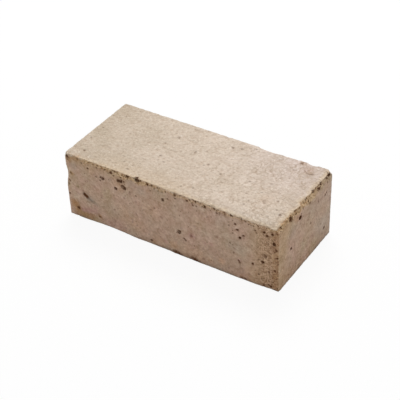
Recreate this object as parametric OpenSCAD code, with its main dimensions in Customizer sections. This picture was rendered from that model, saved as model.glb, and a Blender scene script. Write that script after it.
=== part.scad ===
// Dense fire brick, pressed and fired as one solid block, with the wear of handling.
// It lies on its lower bed. The origin is the centre of that bed: X runs along the length,
// Y from the front face to the back face, and Z up to the upper bed.

/* [Block] */
// Length of the brick, from end to end
length = 230; // [180:1:300]
// Width of the brick, from the front face to the back face
width = 100; // [80:1:150]
// Height of the brick, from bed to bed
height = 72; // [50:1:110]

/* [Arrises] */
// Radius of the upper arris of the front face
front_arris_r = 1; // [0.8:0.1:3]
// Radius of the upper arris of the back face
back_arris_r = 1.8; // [0.8:0.1:3]
// Radius of the lower arrises of the front and the back face
lower_arris_r = 1.8; // [0.8:0.1:4]
// Radius of the upper and the lower arris of the left end
left_arris_r = 3; // [0.6:0.1:4]
// Radius of the upper and the lower arris of the right end
right_arris_r = 1.2; // [0.6:0.1:3]
// Radius of the upright arrises at the back and at the right end
upright_arris_r = 1.6; // [0.8:0.1:4]
// Radius of the upright arris at the front left, worn round by handling
worn_upright_r = 2; // [1:0.1:8]

/* [Broken arrises] */
// Distance from one bite to the next along a broken arris
bite_pitch = 5; // [4:0.5:12]
// Radius of the scoop that one bite leaves
bite_r = 8; // [6:0.5:14]
// Depth of the deepest bite in the upper arris of the front face
front_bite_depth = 1; // [0.8:0.1:3]
// Depth of the deepest bite in the upper arris of the right end
end_bite_depth = 2.8; // [1:0.1:4]
// Depth of the deepest bite in the upright arris between the front face and the right end
upright_bite_depth = 1.1; // [0.8:0.1:3]
// Share of their depth that the bites keep at the far end of their row
bite_fade = 0.5; // [0.4:0.05:1]
// Angle by which a bite leans from the face that it eats into towards the face beside it
bite_lean = 9; // [4:1:30]

/* [Chips and worn corners] */
// Length of the long chip in the upper arris at the back
long_chip_length = 36; // [20:1:60]
// Depth of the long chip
long_chip_depth = 2.2; // [1:0.1:4]
// Length of the shallow chip that runs on from the long one
tail_chip_length = 48; // [20:1:60]
// Depth of the shallow chip
tail_chip_depth = 1.6; // [1:0.1:3]
// Length of the short chip in the upper arris at the back
short_chip_length = 15; // [8:1:25]
// Depth of the short chip
short_chip_depth = 2.2; // [1:0.1:4]
// Length of the long chip in the lower arris of the front face
foot_chip_length = 80; // [20:1:100]
// Length of the chip in the lower arris at the front right corner
foot_corner_chip_length = 44; // [10:1:60]
// Depth of the two chips in the lower arris of the front face
foot_chip_depth = 1.7; // [1.5:0.1:4]
// Length of the chip in the upright arris at the front left
upright_chip_length = 22; // [10:1:40]
// Depth of the chip in the upright arris
upright_chip_depth = 2; // [1:0.1:4]
// Depth to which the upper corner at the front left is worn
front_corner_wear = 3; // [1:0.1:5]
// Depth to which the upper corner at the back left is worn
back_left_corner_wear = 2; // [1:0.1:5]
// Depth to which the upper corner at the back right is broken
back_corner_wear = 3.4; // [1:0.1:5]

/* [Pits] */
// Radius of the mouth of a large pit
large_pit_r = 2; // [1.3:0.1:3.5]
// Depth of a large pit
large_pit_depth = 1.8; // [0.8:0.1:2.5]
// Radius of the mouth of a small pit
small_pit_r = 1.3; // [0.8:0.1:2.2]
// Depth of a small pit
small_pit_depth = 1.1; // [0.5:0.1:1.6]

/* [Drag mark] */
// Length of the groove in the front face
drag_length = 11; // [8:1:30]
// Width of the groove at its deep end
drag_width = 2.4; // [1:0.1:4]
// Depth of the groove at its deep end
drag_depth = 1.4; // [0.4:0.1:1.6]
// Distance of the deep end from the left end of the brick
drag_from_left = 18; // [10:1:60]
// Height of the deep end above the lower bed
drag_height = 33; // [20:1:40]
// Slope of the groove, down towards the right
drag_slope = 38; // [0:1:45]

/* [Hidden] */
$fn = 64;

// Directions out of the faces
FRONT = [0, -1, 0];
BACK = [0, 1, 0];
LEFT = [-1, 0, 0];
RIGHT = [1, 0, 0];
UP = [0, 0, 1];
DOWN = [0, 0, -1];

// How far the three extruded profiles run past the block that they have in common
over = 10;

// Seeds for the scatter of the bites
front_seed = 11;
end_seed = 23;
upright_seed = 37;
// Shares by which the bites differ in their place, their radius and their depth
place_spread = 0.35;
radius_spread = 0.25;
depth_spread = 0.65;

// Places of the chips, as shares of the length from the left end
long_chip_place = 0.73;
tail_chip_place = 0.79;
short_chip_place = 0.915;
foot_chip_place = 0.215;
foot_corner_chip_place = 0.985;
// Place of the chip in the upright arris, as a share of the height
upright_chip_place = 0.68;
// Radius of the scoop at a worn corner, as a multiple of its depth
corner_scoop_ratio = 8;

// Pits of the front face: shares of the length from the left end and of the height
front_large_pits = [[0.365, 0.975], [0.28, 0.865], [0.295, 0.78], [0.555, 0.395], [0.94, 0.525]];
front_small_pits = [[0.19, 0.8], [0.255, 0.715], [0.485, 0.815], [0.545, 0.97], [0.835, 0.665],
                    [0.93, 0.415], [0.98, 0.75]];
// Pits of the right end: shares of the width from the front face and of the height
end_large_pits = [[0.39, 0.82]];
end_small_pits = [[0.23, 0.49], [0.87, 0.21]];

function lerp(a, b, share) = a + (b - a) * share;

// Radius of the sphere whose cap has this mouth and this depth
function cap_r(mouth_r, depth) = (mouth_r * mouth_r + depth * depth) / (2 * depth);

// A scoop: a ball that comes from this direction and stops this deep behind the point
module scoop(point, from, r, depth) {
    translate(point + from / norm(from) * (r - depth)) sphere(r);
}

// What rounding takes off a square corner at the origin; sx and sy are its signs inwards
module corner_waste(sx, sy, r) {
    difference() {
        translate([sx * r / 2, sy * r / 2]) square(r, center = true);
        translate([sx * r, sy * r]) circle(r);
    }
}

// A rectangle that stands on the X axis, with radii in the order lower left, lower right,
// upper right and upper left
module profile(w, h, radii) {
    difference() {
        translate([-w / 2, 0]) square([w, h]);
        translate([-w / 2, 0]) corner_waste(1, 1, radii[0]);
        translate([w / 2, 0]) corner_waste(-1, 1, radii[1]);
        translate([w / 2, h]) corner_waste(-1, -1, radii[2]);
        translate([-w / 2, h]) corner_waste(1, -1, radii[3]);
    }
}

// The block with all its arrises rounded: what its plan, its side and its end have in common
module block() {
    intersection() {
        translate([0, -width / 2, -over])
            linear_extrude(height + 2 * over)
                profile(length, width,
                        [worn_upright_r, upright_arris_r, upright_arris_r, upright_arris_r]);
        rotate([90, 0, 0])
            linear_extrude(width + 2 * over, center = true)
                profile(length, height,
                        [left_arris_r, right_arris_r, right_arris_r, left_arris_r]);
        rotate([90, 0, 90])
            linear_extrude(length + 2 * over, center = true)
                profile(width, height,
                        [lower_arris_r, lower_arris_r, back_arris_r, front_arris_r]);
    }
}

// A row of bites along the arris from a to b, which eat into one face and lean to the other,
// and which are deepest at a
module bites(a, b, face, beside, deepest, seed) {
    count = max(1, round(norm(b - a) / bite_pitch));
    shift = rands(-place_spread, place_spread, count, seed);
    grow = rands(1 - radius_spread, 1 + radius_spread, count, seed + 1);
    share = rands(1 - depth_spread, 1, count, seed + 2);
    from = face * cos(bite_lean) + beside * sin(bite_lean);
    for (i = [0 : count - 1])
        scoop(lerp(a, b, (i + 0.5 + shift[i]) / count), from, bite_r * grow[i],
              deepest * share[i] * lerp(1, bite_fade, i / count));
}

module broken_arrises() {
    front_left = [-length / 2, -width / 2, height];
    front_right = [length / 2, -width / 2, height];
    back_right = [length / 2, width / 2, height];
    front_right_foot = [length / 2, -width / 2, 0];
    bites(front_left, front_right, FRONT, UP, front_bite_depth, front_seed);
    bites(front_right, back_right, RIGHT, UP, end_bite_depth, end_seed);
    bites(front_right_foot, front_right, FRONT, RIGHT, upright_bite_depth, upright_seed);
}

// A chip out of a long arris: side and rise are the directions out of the two faces it divides
module long_arris_chip(place, side, rise, chip_length, chip_depth) {
    along = lerp(-length / 2, length / 2, place);
    point = [along, side[1] * width / 2, (1 + rise[2]) * height / 2];
    scoop(point, side + rise, cap_r(chip_length / 2, chip_depth), chip_depth);
}

module chips() {
    long_arris_chip(long_chip_place, BACK, UP, long_chip_length, long_chip_depth);
    long_arris_chip(tail_chip_place, BACK, UP, tail_chip_length, tail_chip_depth);
    long_arris_chip(short_chip_place, BACK, UP, short_chip_length, short_chip_depth);
    long_arris_chip(foot_chip_place, FRONT, DOWN, foot_chip_length, foot_chip_depth);
    long_arris_chip(foot_corner_chip_place, FRONT, DOWN, foot_corner_chip_length, foot_chip_depth);
    scoop([-length / 2, -width / 2, upright_chip_place * height], LEFT + FRONT,
          cap_r(upright_chip_length / 2, upright_chip_depth), upright_chip_depth);
}

module worn_corners() {
    scoop([-length / 2, -width / 2, height], LEFT + FRONT + UP,
          corner_scoop_ratio * front_corner_wear, front_corner_wear);
    scoop([-length / 2, width / 2, height], LEFT + BACK + UP,
          corner_scoop_ratio * back_left_corner_wear, back_left_corner_wear);
    scoop([length / 2, width / 2, height], RIGHT + BACK + UP,
          corner_scoop_ratio * back_corner_wear, back_corner_wear);
}

module front_pits(places, mouth_r, depth) {
    for (p = places)
        scoop([lerp(-length / 2, length / 2, p[0]), -width / 2, p[1] * height], FRONT,
              cap_r(mouth_r, depth), depth);
}

module end_pits(places, mouth_r, depth) {
    for (p = places)
        scoop([length / 2, lerp(-width / 2, width / 2, p[0]), p[1] * height], RIGHT,
              cap_r(mouth_r, depth), depth);
}

module pits() {
    front_pits(front_large_pits, large_pit_r, large_pit_depth);
    front_pits(front_small_pits, small_pit_r, small_pit_depth);
    end_pits(end_large_pits, large_pit_r, large_pit_depth);
    end_pits(end_small_pits, small_pit_r, small_pit_depth);
}

// A groove that fades out: a round bar that comes out of the front face at a shallow angle
module drag_mark() {
    bar_r = cap_r(drag_width / 2, drag_depth);
    rise = atan(drag_depth / drag_length);
    translate([drag_from_left - length / 2, drag_depth - bar_r - width / 2, drag_height])
        rotate([0, drag_slope, 0])
            rotate([0, 0, -rise])
                rotate([0, 90, 0]) cylinder(h = drag_length, r = bar_r);
}

module brick() {
    color("tan")
        difference() {
            block();
            broken_arrises();
            chips();
            worn_corners();
            pits();
            drag_mark();
        }
}

brick();
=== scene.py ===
# %% [markdown]
# # A dense fire brick
# One block of fired clay, as it comes back from the kiln and a few years of handling: pale, finely
# granular beds, browner and smoother sides, and arrises that have crumbled to a golden, gritty core.
# The solid is measured and fixed already. This lesson gives it its skin: relief that you can feel, and
# a finish that shows where the clay was pressed, where it broke and where iron burnt out of it.

import math
import random

import bmesh
import bpy
import numpy as np
from mathutils import Matrix, Vector, kdtree, noise
from mathutils.bvhtree import BVHTree


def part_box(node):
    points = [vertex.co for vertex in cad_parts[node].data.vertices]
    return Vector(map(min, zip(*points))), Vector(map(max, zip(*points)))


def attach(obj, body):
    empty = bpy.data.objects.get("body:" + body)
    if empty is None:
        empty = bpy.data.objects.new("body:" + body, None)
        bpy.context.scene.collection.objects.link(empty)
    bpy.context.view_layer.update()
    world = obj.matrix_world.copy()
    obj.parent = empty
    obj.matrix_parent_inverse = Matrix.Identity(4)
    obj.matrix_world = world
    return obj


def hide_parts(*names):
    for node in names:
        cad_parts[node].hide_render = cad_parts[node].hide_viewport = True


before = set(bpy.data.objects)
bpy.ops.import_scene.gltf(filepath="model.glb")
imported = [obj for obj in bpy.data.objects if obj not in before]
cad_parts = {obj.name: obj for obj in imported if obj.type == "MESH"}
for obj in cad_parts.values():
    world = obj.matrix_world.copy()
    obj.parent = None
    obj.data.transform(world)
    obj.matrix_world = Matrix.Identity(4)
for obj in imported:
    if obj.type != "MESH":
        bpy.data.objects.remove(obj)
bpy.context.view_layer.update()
LOW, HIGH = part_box("brick")
MM = 0.001
LENGTH, WIDTH, HEIGHT = ((HIGH - LOW) / MM)
print(f"brick: {LENGTH:.1f} x {WIDTH:.1f} x {HEIGHT:.1f} mm")


# %% [markdown]
# ## Camera
# A long lens from a metre away keeps the edges of the block nearly parallel. The camera is placed by what
# it looks at and from which side, so it stays on the brick if the brick moves.

# %% Place the camera
def look_at(aim, distance, azimuth, elevation, roll):
    """World matrix of a camera that looks at aim; azimuth 0 looks along +Y."""
    az, el = math.radians(azimuth), math.radians(elevation)
    forward = Vector((-math.sin(az) * math.cos(el), math.cos(az) * math.cos(el), -math.sin(el)))
    turn = forward.to_track_quat("-Z", "Y").to_matrix().to_4x4()
    return Matrix.Translation(aim - forward * distance) @ turn @ Matrix.Rotation(math.radians(roll), 4, "Z")


FOCAL_LENGTH = 97.6  # mm, on a sensor 36 mm wide
CAMERA_DISTANCE = 1.0134  # m
AIM_FROM_MIDDLE = Vector((4.7, -2.1, -5.7)) * MM

lens = bpy.data.cameras.new("studio_lens")
lens.sensor_width = 36.0
lens.lens = FOCAL_LENGTH
camera = bpy.data.objects.new("studio_camera", lens)
bpy.context.scene.collection.objects.link(camera)
aim = (LOW + HIGH) / 2 + AIM_FROM_MIDDLE
camera.matrix_world = look_at(aim, CAMERA_DISTANCE, azimuth=33.74, elevation=37.18, roll=-2.16)
bpy.context.scene.camera = camera
bpy.context.scene.view_settings.view_transform = "Standard"
print("camera at", [round(x, 3) for x in camera.matrix_world.translation])


# %% [markdown]
# ## Nodes in short
# Every finish below is a small graph of nodes. Wired by hand, each node takes several lines. One helper
# adds a node, sets it and feeds its inputs instead, so that a finish reads like a list of steps.

# %% A helper that adds and feeds a node
def add(tree, kind, inputs=(), **settings):
    """Adds one node; inputs maps a socket's name or number to a value or to another node's output."""
    made = tree.nodes.new("ShaderNode" + kind)
    for name, value in settings.items():
        setattr(made, name, value)
    for name, value in dict(inputs).items():
        socket = made.inputs[name]
        if isinstance(value, bpy.types.NodeSocket):
            tree.links.new(value, socket)
        else:
            socket.default_value = value
    return made


print("add:", add.__doc__)

# %% [markdown]
# ## Light and floor
# Clay is matt, so it needs no highlights. An even sky lights the front and the end, and one large soft
# lamp, high behind the block and a little to its left, gives the bed its lead over them. The floor sends
# back as much light as pale card does, but the camera sees it as white paper that keeps a faint shadow. A
# stronger lamp would whiten the floor too, but it would bleach the clay.

# %% Sky, white to the camera
SKY = 0.5  # strength of the sky as a light; the camera sees it at 1, which is white


def seen_by_camera(tree):
    """1 on a ray from the camera, off a gloss or through glass, and 0 on light that only bounces."""
    ray = add(tree, "LightPath")
    seen = add(tree, "Math", {0: ray.outputs["Is Camera Ray"], 1: ray.outputs["Is Glossy Ray"]},
               operation="MAXIMUM")
    seen = add(tree, "Math", {0: seen.outputs[0], 1: ray.outputs["Is Transmission Ray"]},
               operation="MAXIMUM")
    return seen.outputs[0]


sky = bpy.data.worlds.new("studio_sky")
sky.use_nodes = True
sky.node_tree.nodes.clear()
strength = add(sky.node_tree, "MapRange", {"Value": seen_by_camera(sky.node_tree), "To Min": SKY,
                                           "To Max": 1.0})
glow = add(sky.node_tree, "Background", {"Color": (1, 1, 1, 1), "Strength": strength.outputs[0]})
add(sky.node_tree, "OutputWorld", {"Surface": glow.outputs[0]})
bpy.context.scene.world = sky
print(f"sky: strength {SKY} as a light, made of {len(sky.node_tree.nodes)} nodes")

# %% Lamp
LAMP_SIDE = 0.9  # m
LAMP_POWER = 20.0  # W
LAMP_DISTANCE = 1.8  # m

lamp = bpy.data.lights.new("soft_lamp", "AREA")
lamp.shape = "SQUARE"
lamp.size = LAMP_SIDE
lamp.energy = LAMP_POWER
lamp_object = bpy.data.objects.new("soft_lamp", lamp)
bpy.context.scene.collection.objects.link(lamp_object)
lamp_object.matrix_world = look_at(aim, LAMP_DISTANCE, azimuth=205.0, elevation=60.0, roll=0.0)
print("lamp at", [round(x, 3) for x in lamp_object.matrix_world.translation])

# %% Floor
FLOOR_BOUNCE = 0.75  # share of the light that the floor sends back to the block
PAPER_WHITE = 0.98  # colour of the floor as the camera sees it
FLOOR_WHITENING = 0.92  # share of plain white in what the camera sees; the rest keeps the shadow


def paper():
    """A matt floor: pale grey to the light that bounces, and nearly white to the camera."""
    made = bpy.data.materials.new("paper_floor")
    made.use_nodes = True
    tree = made.node_tree
    tree.nodes.clear()
    seen = seen_by_camera(tree)
    tone = add(tree, "Mix", {0: seen, 6: (FLOOR_BOUNCE,) * 3 + (1,), 7: (PAPER_WHITE,) * 3 + (1,)},
               data_type="RGBA")
    matt = add(tree, "BsdfDiffuse", {"Color": tone.outputs[2]})
    white = add(tree, "Emission", {"Color": (1, 1, 1, 1), "Strength": 1.0})
    share = add(tree, "Math", {0: seen, 1: FLOOR_WHITENING}, operation="MULTIPLY")
    both = add(tree, "MixShader", {0: share.outputs[0], 1: matt.outputs[0], 2: white.outputs[0]})
    add(tree, "OutputMaterial", {"Surface": both.outputs[0]})
    return made


def lay_floor(half_side=3.0):
    """A square floor at the height of the lower bed; half_side is in metres."""
    bm = bmesh.new()
    bmesh.ops.create_grid(bm, x_segments=1, y_segments=1, size=half_side)
    bmesh.ops.translate(bm, verts=bm.verts, vec=(0, 0, LOW.z))
    mesh = bpy.data.meshes.new("floor")
    bm.to_mesh(mesh)
    bm.free()
    mesh.materials.append(paper())
    made = bpy.data.objects.new("floor", mesh)
    bpy.context.scene.collection.objects.link(made)
    return made


lay_floor()
print("floor laid at", round(LOW.z, 4))

# %% [markdown]
# ## The block as a fine net
# The brick was pressed in a steel mould, so its faces are flat and only its relief is rich. A cube whose
# edges are subdivided gives a clean net of squares, and halving the cells that lie near a worn arris or a
# pit puts the detail where it is needed. A second way would be one dense net all over, but then a face
# that shows nothing would cost as many cells as one that shows everything.

# %% Cut a cube into cells
CELL = 2.0  # cell of the first net, mm


def cut_along(bm, axis, cells):
    """Cuts the edges that run along one axis into this many equal cells."""
    runs = [e for e in bm.edges if abs(e.verts[0].co[axis] - e.verts[1].co[axis]) > 0.5]
    bmesh.ops.subdivide_edges(bm, edges=runs, cuts=cells - 1, use_grid_fill=True)


def net():
    """The block's six faces as a net of cells, in millimetres from the lowest corner."""
    bm = bmesh.new()
    bmesh.ops.create_cube(bm, size=1.0)
    bmesh.ops.translate(bm, verts=bm.verts, vec=(0.5, 0.5, 0.5))
    for axis, length in enumerate((LENGTH, WIDTH, HEIGHT)):
        cut_along(bm, axis, round(length / CELL))
    bmesh.ops.scale(bm, verts=bm.verts, vec=(LENGTH, WIDTH, HEIGHT))
    return bm


block = net()
print(f"net: {len(block.verts)} points, {len(block.faces)} cells")


# %% The measured solid, to lay the net on
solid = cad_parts["brick"].data


def solid_surface():
    """The solid, searchable, in the same millimetres as the net."""
    bm = bmesh.new()
    bm.from_mesh(solid)
    bmesh.ops.translate(bm, verts=bm.verts, vec=-LOW)
    bmesh.ops.scale(bm, verts=bm.verts, vec=(1 / MM,) * 3)
    made = BVHTree.FromBMesh(bm)
    bm.free()
    return made


surface = solid_surface()
print("solid to lay the net on:", len(solid.polygons), "faces")

# %% [markdown]
# ## Pits
# Specks of iron in the clay melt and run out in the fire and leave pits with dark mouths. The larger ones
# are listed in millimetres from the left end, the front face and the lower bed. Scatters with
# fixed seeds follow the crumbled arrises and dot the back and the left end. A pattern of spots would be
# quicker, but then the large pits would lie just anywhere. A deep pit is nearly black, and a shallow one
# only brown.

# %% Pits listed one by one
# each one: distance along the face, height up it (on the bed: distance from the front), radius of the
# mouth, depth
FRONT_PITS = [
    (83.6, 70.4, 2.1, 1.8), (62.3, 61.7, 1.8, 1.6), (65.6, 62, 1.8, 1.7), (68.8, 62.6, 1.0, 0.7),
    (67, 56.9, 1.65, 1.5), (69.2, 55.9, 1.75, 1.6), (59.2, 51.6, 1.5, 1.0), (44.3, 57.6, 1.6, 1.0),
    (42, 58, 0.9, 0.7), (41.5, 54.5, 0.9, 0.6), (37, 57, 0.9, 0.5), (28.2, 63, 1.1, 0.9),
    (29.5, 69.9, 0.7, 0.4), (39, 69.8, 0.9, 0.6), (47.6, 68.6, 0.9, 0.5), (54.3, 67.9, 1.3, 0.8),
    (57.5, 65.8, 0.9, 0.5), (57, 70.6, 0.7, 0.5), (65.5, 66.3, 0.9, 0.5), (66.7, 69, 0.9, 0.6),
    (72.6, 69.7, 1.4, 1.3), (75, 53.5, 1.0, 0.3), (81.5, 51.5, 0.8, 0.4), (95, 69.4, 1.4, 0.9),
    (99.8, 69.9, 1.0, 0.7), (98.2, 63.8, 0.9, 0.4), (106, 69.7, 1.0, 0.5), (111.6, 58.8, 1.4, 0.7),
    (114.6, 68.5, 0.9, 0.5), (117, 61.8, 0.9, 0.5), (124.6, 68.6, 1.5, 0.7), (130, 70.2, 0.9, 0.5),
    (125, 65.1, 0.8, 0.6), (137.4, 67.4, 1.2, 0.9), (140, 69.3, 1.0, 0.6), (143.6, 64.8, 1.0, 0.8),
    (146.4, 69.6, 1.1, 0.9), (147.3, 65.2, 0.9, 0.6), (156, 68.1, 1.5, 1.0), (165.6, 69.9, 1.1, 1.0),
    (168, 68.6, 0.8, 0.5), (170, 70.5, 0.8, 0.6), (168.3, 65.9, 0.9, 0.6), (176, 69.6, 1.0, 0.7),
    (183, 69.4, 1.2, 1.2), (193, 69, 0.8, 0.5), (197, 68.6, 1.0, 0.6), (207, 62.1, 0.9, 0.7),
    (127.5, 28.5, 1.9, 1.5), (133, 22.7, 1.2, 0.6), (134.5, 21.3, 1.1, 0.6), (188.8, 55.5, 1.4, 0.8),
    (191.5, 47.8, 1.5, 0.9), (195, 51.5, 1.3, 0.7), (187, 61.2, 1.1, 0.8), (180.5, 57.5, 0.9, 0.5),
    (184, 50, 0.8, 0.4), (181.5, 38, 0.9, 0.4), (185, 28.5, 1.0, 0.4), (190, 21.5, 1.1, 0.7),
    (191, 19.5, 1.0, 0.5), (96, 5.7, 1.3, 0.7), (36.5, 10, 1.2, 0.7), (11.6, 11.2, 1.5, 0.8),
    (13.5, 36.5, 0.8, 0.3), (141, 29, 1.6, 0.3), (3.9, 68.5, 2.0, 1.4), (16.8, 70.2, 1.1, 0.3),
    (4, 65, 1.0, 0.6), (6.5, 68, 0.8, 0.5), (6.8, 50.5, 1.2, 0.5), (4, 41, 1.2, 0.6),
    (2.6, 36.5, 0.9, 0.3), (2.4, 25.2, 1.3, 0.9),
]
CRUMBLED_PITS = [
    (215.5, 63.2, 1.2, 1.0), (218.3, 60.5, 1.2, 0.9), (223.5, 64, 1.4, 1.2), (225.2, 54.2, 1.6, 1.4),
    (227.3, 47.9, 1.4, 0.7), (216.4, 37.8, 1.5, 0.9), (214.5, 29.9, 1.5, 1.0), (210, 31, 0.9, 0.3),
    (204.3, 23.8, 1.3, 0.9), (210.5, 14.5, 1.1, 0.5), (220.6, 20.8, 1.2, 0.7), (226.4, 24.6, 1.2, 0.8),
    (220.2, 6, 1.2, 0.8), (222.5, 5, 1.4, 0.9), (220.5, 10.5, 0.9, 0.4), (229, 39.5, 1.2, 0.8),
    (229.5, 33, 1.0, 0.6),
]
END_PITS = [
    (3.2, 71.8, 1.3, 1.0), (6.5, 70.5, 0.9, 0.6), (22.6, 67.9, 2.5, 1.5), (31.8, 70.8, 1.1, 0.7),
    (32.5, 68, 0.8, 0.4), (38.6, 69.4, 1.1, 0.7), (38.2, 59.5, 1.9, 1.2), (40.2, 58.5, 1.5, 0.9),
    (40.5, 62, 0.9, 0.5), (44, 66.2, 0.8, 0.4), (52, 71.3, 1.5, 1.1), (54, 66.8, 1.2, 0.8),
    (57, 63.4, 1.2, 0.7), (64.4, 71.2, 1.8, 1.5), (69, 71.4, 1.1, 1.0), (73.8, 71.3, 1.2, 1.1),
    (72.8, 67.6, 1.6, 1.2), (75.4, 67.2, 1.6, 1.2), (78.3, 70.9, 1.6, 1.2), (89.2, 69.9, 1.7, 1.1),
    (94.4, 70.6, 2.1, 1.5), (86.4, 53, 1.2, 0.6), (89, 54, 0.8, 0.5), (87, 15, 1.6, 0.5),
    (59.4, 39, 1.3, 0.5), (23.2, 35.3, 1.5, 0.9), (80, 24, 0.9, 0.3), (73.6, 53.6, 1.0, 0.4),
]
BED_PITS = [
    (81, 74.2, 1.6, 0.6), (133.7, 86, 1.4, 0.5), (141.8, 88.2, 1.4, 0.5), (107.3, 62.4, 1.3, 0.5),
    (125, 48.3, 1.2, 0.4), (128, 51.2, 1.3, 0.5), (145.2, 44.2, 1.2, 0.4), (82.2, 41.7, 1.3, 0.5),
    (90.5, 34.4, 1.0, 0.3), (174, 47.8, 1.3, 0.4), (180, 31, 1.2, 0.35), (15.6, 13.2, 1.4, 0.8),
    (8, 52.5, 1.1, 0.4), (200.6, 95.5, 2.0, 0.7), (216.4, 84.5, 0.9, 0.5), (220.6, 18.6, 1.6, 0.7),
    (67.4, 9, 1.3, 0.5), (210, 34.5, 1.1, 0.5), (186, 16.2, 1.2, 0.4), (200.7, 26.4, 1.2, 0.4),
    (58.7, 16.8, 1.1, 0.4), (135, 14.2, 1.4, 0.35), (202, 69.6, 1.0, 0.35), (187.2, 22.8, 1.0, 0.35),
    (215, 23, 1.0, 0.35), (74.5, 61, 1.0, 0.35), (8, 33.4, 1.0, 0.35), (199, 29.5, 1.5, 0.25),
    (73, 21.3, 1.0, 0.35), (192.2, 54, 1.3, 0.3), (212, 12, 1.1, 0.35), (154, 94, 1.0, 0.35),
    (116, 68.6, 1.0, 0.3), (191, 38.5, 1.1, 0.3), (69, 16, 1.0, 0.3), (124.5, 11, 1.0, 0.3),
]


def on_front(x, z):
    """A point of the front face."""
    return Vector((x, 0, z))


def on_end(y, z):
    """A point of the right end."""
    return Vector((LENGTH, y, z))


def on_bed(x, y):
    """A point of the upper bed."""
    return Vector((x, y, HEIGHT))


def placed(to_face, marks):
    """The marks with their two distances turned into a point of the face."""
    return [(to_face(a, b), radius, depth) for a, b, radius, depth in marks]


pits = placed(on_front, FRONT_PITS + CRUMBLED_PITS) + placed(on_end, END_PITS) + placed(on_bed, BED_PITS)
print(len(pits), "pits placed by hand")


# %% Pits scattered by seed
def scattered(seed, count, place, radii, depths):
    """Pits at random places; place turns a random generator into a point."""
    rng = random.Random(seed)
    return [(place(rng), rng.uniform(*radii), rng.uniform(*depths)) for _ in range(count)]


def near_arris(rng, reach):
    """A distance from an arris, small ones more often."""
    return reach * rng.random() ** 1.6


pits += scattered(3, 60, lambda r: on_front(r.uniform(20, LENGTH), HEIGHT - 0.8 - near_arris(r, 5)),
                  (0.4, 0.8), (0.3, 0.8))
pits += scattered(4, 20, lambda r: on_end(r.uniform(0, WIDTH), HEIGHT - 0.8 - near_arris(r, 7)),
                  (0.4, 0.9), (0.4, 0.9))
pits += scattered(5, 44, lambda r: on_front(LENGTH - near_arris(r, 22), r.uniform(1, HEIGHT - 2)),
                  (0.4, 0.8), (0.15, 0.55))
pits += scattered(6, 18, lambda r: Vector((r.uniform(6, LENGTH), WIDTH, r.uniform(6, HEIGHT))),
                  (0.9, 1.7), (0.5, 1.1))
pits += scattered(7, 8, lambda r: Vector((0, r.uniform(6, WIDTH), r.uniform(6, HEIGHT))),
                  (0.9, 1.7), (0.5, 1.1))
pit_places = kdtree.KDTree(len(pits))
for number, (centre, _, _) in enumerate(pits):
    pit_places.insert(centre, number)
pit_places.balance()
print(len(pits), "pits in all")

# %% How fine the net has to be
FINE_CELL = 0.5  # cell on crumbled clay and in pits, mm
FACE_CELL = 1.0  # cell on the other faces, mm
# the line of the drag mark on the front face, and that of the crack on the bed
DRAG_MARK = [on_front(20.8, 30.9), on_front(25.2, 27.4), on_front(42, 20.5)]
FLAKE_CRACK = [on_bed(208, 86.5), on_bed(211, 84), on_bed(214.5, 83), on_bed(217.5, 85)]


def off_line(p, line):
    """Distance of a point from a line of points, and how far along it that is, in whole stretches."""
    nearest = (math.inf, 0.0)
    for number, (start, end) in enumerate(zip(line, line[1:])):
        along = end - start
        share = min(max((p - start).dot(along) / along.length_squared, 0), 1)
        nearest = min(nearest, ((p - start - share * along).length, number + share))
    return nearest


def wanted(p):
    """Size of the cells that the relief needs at a point of the net; all distances are in mm."""
    if p.z < 0.1 and min(p.x, p.y, LENGTH - p.x, WIDTH - p.y) > 3:
        return CELL
    to_right, below = LENGTH - p.x, HEIGHT - p.z
    _, number, distance = pit_places.find(p)
    near_pit = distance < pits[number][1] + 0.6
    near_front_arris = below < 5 and p.y < 2.5
    near_end_arris = below < 5.5 and to_right < 3.5
    near_upright = to_right < 9 and p.y < 0.1 or p.y < 3 and to_right < 0.1
    near_line = off_line(p, DRAG_MARK)[0] < 2 or off_line(p, FLAKE_CRACK)[0] < 1.2
    if near_pit or near_front_arris or near_end_arris or near_upright or near_line:
        return FINE_CELL
    return FACE_CELL


print(f"cells wanted: {FINE_CELL} mm where the relief is fine, {FACE_CELL} mm elsewhere, {CELL} mm beneath")

# %% Halve the long edges
LONGEST_EDGE = 1.45  # an edge longer than this many wanted cells is halved


def halve_long_edges(bm):
    """Halves the edges that are too long for their place, and says how many."""
    longer = [e for e in bm.edges
              if e.calc_length() > LONGEST_EDGE * wanted((e.verts[0].co + e.verts[1].co) / 2)]
    bmesh.ops.subdivide_edges(bm, edges=longer, cuts=1, use_grid_fill=True)
    return len(longer)


for _ in range(2):
    print("halved", halve_long_edges(block), "edges")
print(f"net: {len(block.verts)} points, {sum(len(f.verts) - 2 for f in block.faces)} triangles")

# %% [markdown]
# ## Onto the solid
# Each point of the net goes to the nearest place on the measured solid, so the rounded and the bitten
# arrises come through as they are. One pass of smoothing between two such moves evens out the cells. A
# Shrinkwrap modifier could do it too, but the fields below need to know where the points come to lie.

# %% Lay the net on the solid
for v in block.verts:
    v.co = surface.find_nearest(v.co)[0]
bmesh.ops.smooth_vert(block, verts=block.verts, factor=0.5, use_axis_x=True, use_axis_y=True,
                      use_axis_z=True)
for v in block.verts:
    v.co = surface.find_nearest(v.co)[0]
block.normal_update()
print("laid", len(block.verts), "points on the solid")

# %% [markdown]
# ## Fields over the surface
# Relief and finish are both made from fields: one number for each point of the net. A field starts from
# smooth noise or from the distance to an arris or a pit, and arithmetic on whole arrays shapes it. Nodes
# could colour the clay without fields, but this way a pit gets its painted shade just where it is deep.

# %% Noise and ramps for fields
points = [v.co.copy() for v in block.verts]
place = np.array(points)
normal = np.array([surface.find_nearest(p)[1] for p in points])


def ripple(size, shift=0.31):
    """Smooth noise, about -0.7 to 0.7, with features of this size in mm."""
    return np.array([noise.noise(p / size + Vector((shift,) * 3)) for p in points])


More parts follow.
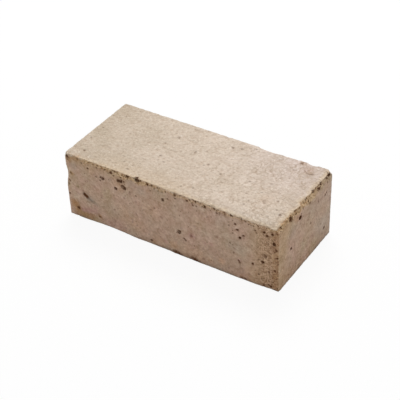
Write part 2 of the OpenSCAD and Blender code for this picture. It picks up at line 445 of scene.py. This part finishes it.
def ramp(value, low, high):
    """0 below low, 1 above high and smooth between; low may be the larger one."""
    t = np.clip((value - low) / (high - low), 0, 1)
    return t * t * (3 - 2 * t)


to_left, to_right = place[:, 0], LENGTH - place[:, 0]
from_front, below_top, height = place[:, 1], HEIGHT - place[:, 2], place[:, 2]
slow, quick, fleck = ripple(9), ripple(3), ripple(1.2)
print(f"height of the net: {height.min():.2f} to {height.max():.2f} mm")

# %% [markdown]
# ## Where the clay crumbled
# The pressed skin is gone along three arrises: the upper ones of the front and of the right end, and the
# upright one between them. Its edge wanders. On the front face the gritty clay goes on to the left and
# fades out, and near the left end the skin still reaches round the arris. The edge could be drawn by hand
# as a line, but a distance from the arris with noise added wanders by itself and never looks ruled.

# %% How far the crumbled clay reaches from each arris, mm
# on the bed, along the right end: distances from the front, and how far the clay is broken there
END_RIM_PLACES = [28, 35, 39, 43, 48, 55, 60, 72, 79, 87, 92]
END_RIM = [2.4, -0.4, 0.2, 3.2, 2.1, -0.6, 1.2, 1.8, 0.9, 0.7, 2.1]
on_top = below_top < 0.15
wander = 2.4 * slow + 1.8 * quick
nibble = ripple(2.1, 0.83)
# down the front: widest about 76 mm from the left end, and wider again past the middle
front_reach = 3.8 + 1.6 * ramp(np.abs(to_left - 76), 22, 8) + 0.8 * ramp(to_left, 100, 130) + wander
front_reach = np.where(on_top, -0.1 + 1.3 * quick + 0.8 * slow + 1.6 * nibble, front_reach)
# the lip: pressed skin that comes down over the front before the broken clay begins
lip = 0.5 + 0.6 * ramp(to_left, 95, 120) + 1.0 * quick + 1.4 * nibble
# down the right end: widest about 58 mm from the front
end_reach = 4.2 + 3.2 * ramp(np.abs(from_front - 58), 34, 12) + 1.5 * wander
end_rim = np.interp(from_front, END_RIM_PLACES, END_RIM) + 0.8 * (quick + nibble)
end_reach = np.where(on_top, end_rim, end_reach)
upright_reach = np.where(from_front < 1.2, 5.5, 1.0) + wander
print(f"front arris crumbled to {np.median(front_reach[~on_top]):.1f} mm, "
      f"end arris to {np.median(end_reach[~on_top]):.1f} mm below the bed")

# %% Field of crumbled clay
past_front = np.hypot(from_front, below_top) - front_reach
past_front = np.where(on_top, from_front - front_reach, np.maximum(past_front, lip - below_top))
past_front += 2.6 * ramp(to_left, 24, 14)
past_end = np.where(on_top, to_right, np.hypot(to_right, below_top)) - end_reach
past_upright = np.hypot(to_right, from_front) - upright_reach + 20 * on_top
broken = ramp(np.minimum(np.minimum(past_front, past_end), past_upright), 0.9, -0.7)
# the corner at the back right is worn but keeps its skin on top
broken *= 1 - ramp(np.hypot(to_right, WIDTH - from_front), 9, 6) * (normal[:, 2] > 0.3)
# near the right end, the front face is sandy where it isn't broken
sandy = ramp(to_right, 30 + 8 * slow, 12) * (from_front < 1.2) * ~on_top * (1 - broken)
grit = np.maximum(broken, 0.85 * sandy * (0.8 + 0.8 * nibble))
# the edge of the bed beside the broken clay
rim = ramp(np.minimum(past_front, past_end), 6.0, 0.5) * (below_top < 1.5) * (1 - broken)
print(f"crumbled: {broken.mean():.1%} of the points")


# %% Fields of pits
def stamp(centre, radius, edge=0.5):
    """A round patch with an uneven rim: 1 inside, 0 outside. It reaches twice as deep as it is wide."""
    away = place - np.array(centre)
    into = [number for number, far in enumerate((LENGTH, WIDTH, HEIGHT)) if centre[number] in (0, far)]
    away[:, into] *= 0.5
    distance = np.linalg.norm(away, axis=1) * (1 + 0.5 * fleck)
    return ramp(distance, radius * (1 + edge), radius * (1 - edge))


pit_depth, pit = np.zeros(len(points)), np.zeros(len(points))
for centre, radius, depth in pits:
    pit_depth = np.maximum(pit_depth, depth * stamp(centre, 0.8 * radius, 0.6))
    # the iron black of the mouth, with painted shade that deepens with the pit's depth
    pit = np.maximum(pit, min(1, 0.3 + 0.8 * depth) * stamp(centre, radius, 0.35))
print(f"pitted: {(pit > 0.5).mean():.1%} of the points")

# %% [markdown]
# ## Drag mark, crack and painted shadow at the foot
# Something hard was dragged down the front face near the left end: a groove, blackened with soot, that
# runs out in a grey trail. The groove is cut in the solid, so only its colour is left to do. The nearest
# place on a line of points gives both how far off the mark a point lies and how far along it, which is
# simpler than painting, and it holds at any size of cell. At the foot, a few dark spots are painted shadow.

# %% Drag mark and the crack of a flake
drag, drag_place = np.array([off_line(p, DRAG_MARK) for p in points]).T
scorch = ramp(drag, 2.3, 1.3) * ramp(drag_place, 1.1, 0.7) * (from_front < 3)
trail = ramp(drag, 3.6, 0.4) * ramp(drag_place, 2.0, 1.0) * (from_front < 3)
crack = ramp(np.array([off_line(p, FLAKE_CRACK)[0] for p in points]), 0.9, 0.3)
pit = np.maximum(pit, np.maximum(scorch, 0.5 * crack))
pit_depth = np.maximum(pit_depth, 0.4 * crack)
print(f"points on the drag mark: {(scorch > 0.5).sum()}, on its trail: {(trail > 0.5).sum()}, "
      f"on the crack: {(crack > 0.5).sum()}")

# %% Painted shadow at the foot: dark marks, not deep
# each one: distance along the front face, height up it, radius, strength
FOOT_SHADOW_MARKS = [
    (120.5, 3.6, 1.6, 0.8), (123.5, 3.2, 2.2, 1.0), (126.5, 2.7, 2.2, 1.0), (129, 2.5, 1.5, 0.7),
    (141, 3.3, 1.8, 0.8), (143.7, 2.8, 2.2, 1.0), (146.5, 2.5, 1.8, 0.9), (149, 2.5, 1.3, 0.6),
    (193.5, 2.9, 1.5, 0.8), (197, 2.8, 1.5, 0.8), (215.8, 3.2, 1.6, 0.8),
]
# painted shadow: the dark marks along the foot join the field of the pits
for centre, radius, strength in placed(on_front, FOOT_SHADOW_MARKS):
    pit = np.maximum(pit, strength * stamp(centre, radius))
print(len(FOOT_SHADOW_MARKS), "scorched marks at the foot")

# %% [markdown]
# ## Stains and skin
# Stains have no depth. Rust is where iron bled into the clay, blush where it only reddened it, amber where
# it only tinted it, olive where the fire was short of air, and ash where grey dust burnt in. They are soft
# round patches with uneven rims, which run into one another as the real ones do. They could be painted on
# an image, but a list of places is easier to change, and it needs no unwrapping. The skin is the pale,
# dense layer that pressing left on the beds.

# %% Places of the stains
# each one: distance along the face, height up it (on the bed: distance from the front), radius, strength
FRONT_STAINS = {
    "rust": [
        (5, 67, 3, 0.5), (16.5, 70.2, 2.4, 0.9), (12, 69.5, 2.6, 0.8), (7.5, 68, 2.5, 0.6),
        (8, 50.5, 2.6, 0.9), (6.5, 64, 2.5, 0.5), (7.6, 16.8, 4.5, 0.6), (11.5, 11, 3.2, 1),
        (7.5, 13.5, 4.5, 0.55), (13, 5, 6, 0.8), (19, 6.8, 4, 0.6), (30.5, 7, 4, 0.5),
        (37, 10.5, 2.2, 0.9), (24, 4.5, 5, 0.6), (226, 19, 4, 0.8), (220.5, 10, 2, 0.6),
        (222, 5, 2.5, 0.6), (193, 5, 2.5, 0.6), (99, 4, 3, 0.5), (203, 3, 5, 0.4), (56.5, 66.5, 1.2, 0.6),
        (97, 64, 3, 0.3),
    ],
    "olive": [
        (18, 7, 6, 0.3), (34, 4, 5, 0.5), (25, 41, 5, 0.3), (48, 32, 6, 0.25), (48.5, 42, 6, 0.6),
        (2, 55, 3, 0.6), (2, 36, 3, 0.6), (186, 30, 11, 0.3), (8, 44, 7, 0.35), (13.5, 37, 2, 0.8),
        (110, 60, 9, 0.3), (28, 57, 8, 0.3), (50, 17, 7, 0.3),
    ],
    "blush": [
        (141, 29.5, 2.8, 1), (17, 11.2, 2.6, 1), (21.5, 12.3, 2.8, 0.9), (26, 13.5, 3, 0.9),
        (31.5, 14.3, 3, 0.7), (112, 11.2, 2.2, 0.8), (162, 28.3, 2, 0.7), (155.3, 26.3, 1.8, 0.6),
        (190.5, 22, 2.5, 0.6), (107, 14, 2, 0.5), (149, 40, 2.5, 0.4), (124, 15, 2, 0.5),
        (33, 20, 3, 0.4), (48, 6, 4, 0.5), (12, 34, 4, 0.3), (58, 9, 7, 0.4), (210.5, 14.5, 3, 0.6),
        (219, 8, 4, 0.6), (196, 7, 6, 0.4),
    ],
    "amber": [
        (121, 10.5, 5, 0.7), (134, 9, 7, 0.4), (148, 10, 7, 0.5), (160, 9.3, 3, 0.6),
        (172.7, 13.3, 3.2, 0.7), (105, 9, 6, 0.4), (64, 58, 7, 0.5), (64, 24, 9, 0.4), (80, 17, 8, 0.4),
        (98, 42, 8, 0.3), (146, 46, 7, 0.3), (206, 12, 9, 0.6), (218, 10, 7, 0.5), (30.5, 62, 4, 0.4),
    ],
    "ash": [
        (10.5, 61, 4, 0.6), (76, 65, 4.5, 0.5), (87, 60, 4.5, 0.4), (187, 36, 8, 0.4), (27, 27, 5, 0.5),
        (58, 24, 7, 0.3), (172, 62, 8, 0.3), (140, 47, 7, 0.2),
    ],
}
END_STAINS = {
    "rust": [
        (3.5, 9, 7, 0.4), (22, 8, 9, 0.45), (40.5, 7, 7, 0.35), (62, 8, 8, 0.35), (76, 9, 8, 0.4),
        (88, 9, 5, 0.3), (29.5, 67, 4, 0.3), (10.5, 70, 4, 0.4),
    ],
    "olive": [
        (95.5, 67, 5, 0.6), (78.5, 65, 3, 0.5), (19.5, 61, 8, 0.5), (95.5, 31, 4, 0.4), (66.5, 9, 9, 0.4),
        (7.5, 41, 9, 0.35), (43.5, 23, 9, 0.3), (51, 37, 12, 0.3),
    ],
    "blush": [
        (38.5, 59, 4, 0.5), (41.5, 37, 7, 0.25), (10.5, 25, 8, 0.3), (25.5, 35, 6, 0.35),
        (28.5, 17, 7, 0.2),
    ],
    "amber": [
        (12, 62, 8, 0.5), (33, 63, 6, 0.7), (70, 64, 7, 0.5), (88, 62, 6, 0.6), (84, 38, 9, 0.5),
        (7, 44, 6, 0.4),
    ],
    "ash": [(28.5, 53, 7, 0.3), (64.5, 57, 9, 0.3), (23.5, 47, 6, 0.2), (80.5, 21, 12, 0.3)],
}
BED_STAINS = {
    "rust": [(201, 96.5, 2.5, 0.6), (214.5, 85.5, 1.5, 0.5), (198.5, 31.8, 6, 0.22)],
    "blush": [(210.5, 89, 4.5, 0.35)],
}
for part, kinds in (("front", FRONT_STAINS), ("end", END_STAINS), ("bed", BED_STAINS)):
    print(f"stains placed on the {part}:", sum(len(marks) for marks in kinds.values()))

# %% Fields of stains
stains = {}
for name in FRONT_STAINS:
    marks = placed(on_front, FRONT_STAINS[name]) + placed(on_end, END_STAINS[name])
    marks += placed(on_bed, BED_STAINS.get(name, []))
    stains[name] = np.clip(sum(strength * stamp(centre, r, 0.7) for centre, r, strength in marks), 0, 1)
print(f"stained with rust: {(stains['rust'] > 0.5).mean():.1%} of the points")

# %% Fields of skin, gold, painted shadow along the foot, and dust with painted edge shade
# skin: the bed, the lip that it forms over the front, and more of the arris near the left end
skin = ramp(normal[:, 2], 0.35, 0.75) * (below_top < 3.5) * (1 - broken)
skin = np.maximum(skin, ramp(lip - below_top, -0.2, 0.3) * (from_front < 2.5) * (1 - broken))
round_arris = ramp(below_top + 2.0 * quick, 2.6, 1.2) * ramp(to_left, 18, 10) * (normal[:, 2] > -0.1)
skin = np.maximum(skin, round_arris)
skin *= 1 - ramp(pit, 0.7, 1) * ramp(from_front, 4, 2)
# painted shadow along the foot: a dark line, darkest about 135 mm from the left end
foot_shadow = ramp(height, 5.0, 1.2) * (0.45 + 0.3 * ramp(np.abs(to_left - 135), 60, 30) + 0.4 * slow)
# golden: under the upper arris at the left of the front face, and beside the upright arris at the right
golden = np.maximum(ramp(below_top, 13, 4) * ramp(to_left, 90, 60), ramp(to_right, 36, 16))
golden = np.maximum(golden * (from_front < 2), ramp(from_front, 26, 6) * (to_right < 2))
golden *= (1 - broken) * ~on_top
# honey: a warmer strip of the bed along the front, left of the middle
honey = ramp(from_front, 30, 3) * on_top * np.minimum(ramp(to_left, 20, 60), ramp(to_left, 150, 115))
# painted shade on the rounded arrises at the left and the back and on the upright arris at the back right,
# and dust down the right end near the back
rear = np.minimum(to_left, WIDTH - from_front)
dust_and_edge_shade = 0.3 * ramp(rear, 2.2, 0.8) * ramp(normal[:, 2], 0.2, 0.5)
dust_and_edge_shade = np.maximum(dust_and_edge_shade, 0.35 * ramp(WIDTH - from_front, 5, 2) * (to_right < 4) * (below_top > 3))
dust_and_edge_shade = np.maximum(dust_and_edge_shade, 0.24 * ramp(WIDTH - from_front, 45, 6) * (to_right < 1.5))
print(f"skin: {(skin > 0.5).mean():.1%}, golden: {(golden > 0.5).mean():.1%}, dusty: {dust_and_edge_shade.mean():.2%}")

# %% [markdown]
# ## Relief
# Everything that wear and fire did goes inwards, so the brick keeps its measured size: a slow swell and a
# fine tooth all over, grains with voids between them where the clay broke, and pits where iron burnt out.
# Bump in the finish could fake most of it, but the outline would stay smooth, so the points themselves
# move, and bump only sharpens the tooth.

# %% Depth of the relief
def grains(size, shift=0.0):
    """Distance to the nearest grain, on the gritty points only: deepest between grains."""
    depth = np.zeros(len(points))
    for number in np.flatnonzero(grit > 0.02):
        depth[number] = noise.voronoi(points[number] / size + Vector((shift,) * 3))[0][0]
    return depth


# swell: slow waves; dimples: hollows of about 4 and 2 mm, a little deeper in the skin
swell = 0.14 * (0.5 + 0.7 * ripple(28))
dimples = 0.75 * np.clip(ripple(3.6, 0.77), 0, 1) + 0.45 * np.clip(ripple(1.9, 0.13), 0, 1)
tooth = dimples * (0.55 + 0.45 * skin) + 0.03
rubble = 0.7 * grains(2.3) + 0.7 * grains(1.1, 5.0)
# the rubble is shallower from about the middle to the right, and on the upright arris there
rubble *= 1 - 0.35 * ramp(to_left, 95, 115) * (to_right > 12) - 0.4 * ramp(to_right, 9, 6) * (below_top > 4)
print(f"rubble: deepest {rubble.max():.2f} mm")

# %% Wear along the arrises, mm
DEEPEST = 2.6  # no relief goes deeper than this
# the upright arris at the front left is rubbed back above the middle of its height
rubbed = 0.8 * ramp(np.hypot(to_left, from_front), 7, 3) * ramp(height, 33, 42) * ramp(below_top, 0, 3)
# the foot of the front face is chipped: one long shallow chip left of the middle, and more to the right
chipped_foot = 0.4 * ramp(to_left, 75, 95) * ramp(to_left, 122, 114) + 0.15 * ramp(to_left, 152, 162)
chipped_foot += 0.25 * ramp(to_left, 184, 198)
rubbed += chipped_foot * ramp(np.hypot(from_front, height), 5, 2.5)
depth = swell + tooth * (1 - grit) + grit * (0.05 + rubble) + pit_depth + rubbed + 0.5 * broken * on_top
depth = np.clip(depth, 0, DEEPEST)
# the upper arris of the front face is worn down more and more towards the right
sag = 0.3 * ramp(to_left, 90, 112) + 1.5 * ramp(to_left, 146, 198)
sag *= np.clip(1 - from_front / 7, 0, 1) * np.clip(1 - below_top / 6, 0, 1)
print(f"relief: mean {depth.mean():.2f} mm, deepest {depth.max():.2f} mm")

# %% Move the points in and keep the fields for the finish
# the dimples of the tooth, outside the gritty clay, where the finish paints shade
dimple_shade = np.clip(dimples, 0, 1) * (1 - grit)
upright = ramp(to_right, 9, 4) * (from_front < 1.5) * ramp(below_top, 1, 4)
# the broken clay is less golden right of the middle and on the upright arris at the right
light_grit = 0.4 * ramp(to_left, 95, 115) * (to_right > 12)
shown_broken = broken * (1 - light_grit) * (1 - 0.25 * upright)
fields = {"skin": skin, "rim": rim, "broken": shown_broken, "pit": pit, "dimple_shade": dimple_shade, "sand": sandy,
          "foot_shadow": foot_shadow, "dust_and_edge_shade": dust_and_edge_shade, "trail": trail, "upright": upright, "golden": golden,
          "honey": honey, **stains}
layers = {name: block.verts.layers.float.new(name) for name in fields}
for number, v in enumerate(block.verts):
    v.co -= v.normal * depth[number] + Vector((0, 0, sag[number]))
    for axis, far in enumerate((LENGTH, WIDTH, HEIGHT)):
        v.co[axis] = min(max(v.co[axis], 0.0), far)
    for name, layer in layers.items():
        v[layer] = fields[name][number]
print(len(fields), "fields kept:", ", ".join(fields))

# %% [markdown]
# ## Finish
# Fired clay is matt all over. What changes is the colour: cream to pink on the beds, pinkish brown with
# grey-green clouds on the sides, gold where it broke, and nearly black in the pits. A material for each
# face would meet the next one in a hard line, so a single finish mixes them all by the fields.

# %% Colours of the clay
# cream of the bed's left end, darker there as painted shade
BED_CREAM_SHADED = (0.52, 0.412, 0.302, 1)
BED_PINK = (0.712, 0.577, 0.464, 1)
BED_ROSE = (0.712, 0.580, 0.505, 1)
BED_GOLD = (0.70, 0.54, 0.375, 1)
BED_PALE = (0.84, 0.73, 0.61, 1)
BED_MARK = (0.42, 0.30, 0.20, 1)
SIDE_PINK = (0.690, 0.460, 0.339, 1)
SIDE_CLOUD = (0.645, 0.462, 0.330, 1)
SIDE_GOLD = (0.62, 0.425, 0.235, 1)
STAIN = {"rust": (0.46, 0.235, 0.09, 1), "olive": (0.50, 0.385, 0.21, 1), "blush": (0.62, 0.36, 0.295, 1),
         "amber": (0.80, 0.51, 0.32, 1), "ash": (0.54, 0.44, 0.35, 1)}
SCORCH = (0.44, 0.255, 0.20, 1)
GRIT_DARK = (0.47, 0.25, 0.10, 1)
GRIT_PALE = (1.0, 0.76, 0.47, 1)
SAND_DARK = (0.28, 0.125, 0.05, 1)
SAND_PALE = (0.87, 0.60, 0.40, 1)
UPRIGHT_SHADE = (0.77, 0.68, 0.635, 1)
# iron black of the pits and specks, also painted shade in the pits, between grains and along the foot
IRON_AND_SHADE = (0.135, 0.052, 0.018, 1)
# grime of the drag mark's trail; the same colour paints the shadow along the foot
GRIME_AND_SHADOW = (0.21, 0.165, 0.125, 1)
# grey of dust, also the painted shade on the rounded arrises at the back
DUST_AND_SHADE_GREY = (0.56, 0.52, 0.46, 1)
print(len(STAIN), "kinds of stain:", ", ".join(STAIN))

# %% Laying one colour over another
# how much faster green and blue fall than red where clay gets darker
GREEN_FALL = 1.34
BLUE_FALL = 1.62


def blend(tree, share, low, high, **how):
    """Colour between low and high."""
    return add(tree, "Mix", {0: share, 6: low, 7: high}, data_type="RGBA", **how).outputs[2]


def times(tree, *shares):
    """Product of the shares."""
    out = shares[0]
    for share in shares[1:]:
        out = add(tree, "Math", {0: out, 1: share}, operation="MULTIPLY").outputs[0]
    return out


def cloud(tree, place, size, low=0.35, high=0.65, detail=2.0, rough=0.5):
    """A wandering share from 0 to 1 with features of about this size in mm."""
    made = add(tree, "TexNoise", {"Vector": place, "Scale": 1 / size, "Detail": detail, "Roughness": rough})
    return add(tree, "MapRange", {"Value": made.outputs[0], "From Min": low, "From Max": high}).outputs[0]


def spots(tree, place, cell, radius, share):
    """Soft round spots: at most one in a cell of this size, and only in this share of the cells."""
    cells = add(tree, "TexVoronoi", {"Vector": place, "Scale": 1 / cell})
    near = add(tree, "MapRange", {"Value": cells.outputs["Distance"], "From Min": radius / cell,
                                  "From Max": 0.5 * radius / cell}).outputs[0]
    pick = add(tree, "SeparateColor", {0: cells.outputs["Color"]}).outputs[0]
    chosen = add(tree, "Math", {0: pick, 1: share}, operation="LESS_THAN").outputs[0]
    return times(tree, near, chosen)


def shaded(tree, colour, share, low, high):
    """The colour times low where share is 0 and times high where it is 1; darker clay is warmer too."""
    red = add(tree, "MapRange", {"Value": share, "To Min": low, "To Max": high}).outputs[0]
    green = add(tree, "Math", {0: red, 1: GREEN_FALL}, operation="POWER").outputs[0]
    blue = add(tree, "Math", {0: red, 1: BLUE_FALL}, operation="POWER").outputs[0]
    tint = add(tree, "CombineColor", {0: red, 1: green, 2: blue}).outputs[0]
    return blend(tree, 1.0, colour, tint, blend_type="MULTIPLY")


for helper in (blend, times, cloud, spots, shaded):
    print(f"{helper.__name__}:", helper.__doc__)

# %% [markdown]
# ## The bed, the sides and the broken clay
# The bed was pressed against the mould and is the palest: cream at the left, where painted shade darkens
# it, and pinker to the right, where it is finely cracked. The sides are darker and stained. The broken
# clay shows its grains, each of its own tone. Each finish is made by laying one colour over another, from
# the largest patches to the finest specks, so that a look at any distance finds something of that size.

# %% The pressed bed
CRACKS = ((5.5, 0.52), (10.0, 0.36))  # size of the cells between the cracks, mm, and strength of the lines


def cracks(tree, place, size):
    """A net of fine lines, 1 on a line, that shows only here and there."""
    bend = add(tree, "TexNoise", {"Vector": place, "Scale": 0.6 / size, "Detail": 2.0})
    bent = add(tree, "VectorMath", {0: bend.outputs["Color"], "Scale": 1.6 * size},
               operation="SCALE").outputs[0]
    bent = add(tree, "VectorMath", {0: place, 1: bent}, operation="ADD").outputs[0]
    edge = add(tree, "TexVoronoi", {"Vector": bent, "Scale": 1 / size}, feature="DISTANCE_TO_EDGE")
    line = add(tree, "MapRange", {"Value": edge.outputs["Distance"], "From Min": 0.12, "From Max": 0.02})
    return times(tree, line.outputs[0], cloud(tree, place, 3 * size, low=0.45, high=0.6))


def between(tree, place, axis, start, end):
    """Share of the way between two places along X, Y or Z, in mm from the middle of the lower bed."""
    along = add(tree, "SeparateXYZ", {0: place}).outputs[axis]
    return add(tree, "MapRange", {"Value": along, "From Min": start, "From Max": end}).outputs[0]


def bed_colour(tree, place, field):
    """Pressed bed: cream with painted shade at the left, pinker and finely cracked to the right, with faint
    brown specks; painted shade in the dimples, painted light at the front right.
    """
    both = add(tree, "Math", {0: times(tree, between(tree, place, "X", -125.0, 20.0), 0.75),
                              1: times(tree, cloud(tree, place, 24), 0.3)}, operation="ADD").outputs[0]
    back_right = times(tree, between(tree, place, "X", 10.0, 80.0), between(tree, place, "Y", -15.0, 40.0))
    colour = blend(tree, both, BED_CREAM_SHADED, blend(tree, back_right, BED_PINK, BED_ROSE))
    right = times(tree, between(tree, place, "X", 70.0, 100.0), between(tree, place, "Y", -36.0, -6.0))
    colour = shaded(tree, colour, right, 1.0, 0.96)
    # painted light: the bed at the front right is lightened against the shade of its worn slope
    near = times(tree, between(tree, place, "X", 70.0, 95.0), between(tree, place, "Y", -24.0, -44.0))
    colour = shaded(tree, colour, near, 1.0, 1.08)
    colour = blend(tree, times(tree, field["honey"], 0.35), colour, BED_GOLD)
    colour = blend(tree, times(tree, field["rim"], 0.8), colour, BED_GOLD)
    colour = shaded(tree, colour, field["honey"], 1.0, 0.96)
    for name in ("rust", "blush"):
        colour = blend(tree, times(tree, field[name], 0.7), colour, STAIN[name])
    pale_spots = spots(tree, place, cell=3.1, radius=1.0, share=0.3)
    colour = blend(tree, times(tree, pale_spots, 0.4), colour, BED_PALE)
    brown_spots = spots(tree, place, cell=4.2, radius=1.1, share=0.3)
    colour = blend(tree, times(tree, brown_spots, 0.45), colour, BED_MARK)
    for size, strength in CRACKS:
        shown = times(tree, cracks(tree, place, size), between(tree, place, "X", -40.0, 50.0), strength)
        colour = blend(tree, shown, colour, BED_MARK)
    # painted shade in the dimples, and painted light on the clay between them
    colour = shaded(tree, colour, field["dimple_shade"], 1.07, 0.84)
    grain = cloud(tree, place, 2.4, low=0.25, high=0.75, detail=3.0, rough=0.75)
    return shaded(tree, colour, grain, 0.88, 1.18)


print("cracked into cells of", " and ".join(f"{size} mm" for size, _ in CRACKS))

# %% The sides
def side_colour(tree, place, field):
    """Sides: pinkish brown with olive clouds, the stains, scorched spots and fine dark specks; painted
    shade in the dimples and towards the top.
    """
    colour = blend(tree, cloud(tree, place, 17, low=0.3, high=0.7, detail=1.0), SIDE_PINK, SIDE_CLOUD)
    for name, stained in STAIN.items():
        colour = blend(tree, times(tree, field[name], 0.8), colour, stained)
    scorched = spots(tree, place, cell=7.0, radius=1.9, share=0.55)
    colour = blend(tree, times(tree, scorched, 0.5), colour, SCORCH)
    colour = blend(tree, times(tree, field["golden"], 0.5), colour, SIDE_GOLD)
    colour = blend(tree, times(tree, field["trail"], 0.55), colour, GRIME_AND_SHADOW)
    specks = spots(tree, place, cell=4.6, radius=0.9, share=0.35)
    colour = blend(tree, times(tree, specks, 0.55), colour, IRON_AND_SHADE)
    # painted shade: the sides are made a little darker towards the top
    colour = shaded(tree, colour, between(tree, place, "Z", 30.0, 70.0), 1.0, 0.97)
    # painted shade in the dimples, and painted light on the clay between them
    colour = shaded(tree, colour, field["dimple_shade"], 1.04, 0.84)
    grain = cloud(tree, place, 2.4, low=0.2, high=0.8, detail=3.0, rough=0.8)
    colour = shaded(tree, colour, grain, 0.76, 1.24)
    patches = cloud(tree, place, 7.0, low=0.2, high=0.8, detail=3.0, rough=0.7)
    return shaded(tree, colour, patches, 0.78, 1.22)


print("stains in the order they are laid on the sides:", ", ".join(STAIN))

# %% Broken clay
GRAIN = 1.3  # size of a grain, mm


def grit_colour(tree, place, dark, pale, gaps):
    """Broken clay: each grain has its own tone between dark and pale, with painted shade in the gaps
    between.
    """
    cells = add(tree, "TexVoronoi", {"Vector": place, "Scale": 1 / GRAIN})
    tone = add(tree, "SeparateColor", {0: cells.outputs["Color"]}).outputs[0]
    colour = blend(tree, tone, dark, pale)
    gap_shade = spots(tree, place, cell=2.1, radius=0.8, share=0.4)
    # painted shade in the gaps between grains
    return blend(tree, times(tree, gap_shade, gaps), colour, IRON_AND_SHADE)


print(f"broken clay: grains of about {GRAIN} mm")

# %% The finish put together
TOOTH_SIZE = 2.2  # mm
TOOTH_HEIGHT = 0.0019  # m, of the bump only


def fired_clay():
    """Fired clay: the sides, the bed over them, then sand, broken clay, dust and painted edge shade,
    painted shadow along the foot, and pits with painted shade on top.
    """
    made = bpy.data.materials.new("fired_clay")
    made.use_nodes = True
    tree = made.node_tree
    tree.nodes.clear()
    object_place = add(tree, "TexCoord").outputs["Object"]
    place = add(tree, "VectorMath", {0: object_place, "Scale": 1 / MM}, operation="SCALE").outputs[0]
    field = {name: add(tree, "Attribute", attribute_name=name).outputs["Fac"] for name in fields}

    colour = blend(tree, field["skin"], side_colour(tree, place, field), bed_colour(tree, place, field))
    colour = blend(tree, times(tree, field["sand"], 0.7), colour,
                   grit_colour(tree, place, SAND_DARK, SAND_PALE, 0.6))
    colour = blend(tree, times(tree, field["broken"], 0.85), colour,
                   grit_colour(tree, place, GRIT_DARK, GRIT_PALE, 0.65))
    colour = blend(tree, field["upright"], colour, UPRIGHT_SHADE, blend_type="MULTIPLY")
    dark = add(tree, "Math", {0: 1.0, 1: times(tree, field["skin"], 0.4)},
               operation="SUBTRACT").outputs[0]
    # dust, and painted shade on the rounded arrises at the left and the back
    colour = blend(tree, field["dust_and_edge_shade"], colour, DUST_AND_SHADE_GREY)
    # painted shadow along the foot
    colour = blend(tree, times(tree, field["foot_shadow"], 0.8), colour, GRIME_AND_SHADOW)
    # iron black with painted shade in the pits, and painted shadow along the foot
    colour = blend(tree, times(tree, field["pit"], dark), colour, IRON_AND_SHADE)

    grain = add(tree, "TexNoise", {"Vector": place, "Scale": 1 / TOOTH_SIZE, "Detail": 4.0,
                                   "Roughness": 0.6})
    relief = add(tree, "Bump", {"Strength": 1.0, "Distance": TOOTH_HEIGHT, "Height": grain.outputs[0]})
    shader = add(tree, "BsdfPrincipled", {"Base Color": colour, "Roughness": 0.92,
                                          "Specular IOR Level": 0.25, "Normal": relief.outputs[0]})
    add(tree, "OutputMaterial", {"Surface": shader.outputs[0]})
    return made


clay = fired_clay()
print(f"{clay.name}: {len(clay.node_tree.nodes)} nodes, of which {len(fields)} read a field")

# %% [markdown]
# ## Into the frame
# The net was worked in millimetres from the block's lowest corner. Here it becomes a piece in metres where
# the solid lies, rides on its body and stands for it in every view. One piece is enough, because the brick
# is one fired body.

# %% Stand the finished block in the frame
def stand(bm, name, material):
    """Turns the net in millimetres into a piece in the frame, in metres."""
    bmesh.ops.scale(bm, verts=bm.verts, vec=(MM,) * 3)
    bmesh.ops.translate(bm, verts=bm.verts, vec=LOW)
    bmesh.ops.recalc_face_normals(bm, faces=bm.faces)
    for face in bm.faces:
        face.smooth = True
    mesh = bpy.data.meshes.new(name)
    bm.to_mesh(mesh)
    bm.free()
    mesh.materials.append(material)
    made = bpy.data.objects.new(name, mesh)
    bpy.context.scene.collection.objects.link(made)
    return made


brick_skin = stand(block, "fired_clay_block", clay)
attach(brick_skin, "root")
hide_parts("brick")
brick_skin.data.calc_loop_triangles()
print("triangles:", len(brick_skin.data.loop_triangles))

# %% Compare the sizes
corners = [Vector(pick(v.co[axis] for v in brick_skin.data.vertices) for axis in range(3))
           for pick in (min, max)]
apart = max((corners[0] - LOW).length, (corners[1] - HIGH).length)
print(f"the box of the finished block lies within {apart / MM:.3f} mm of the solid's")
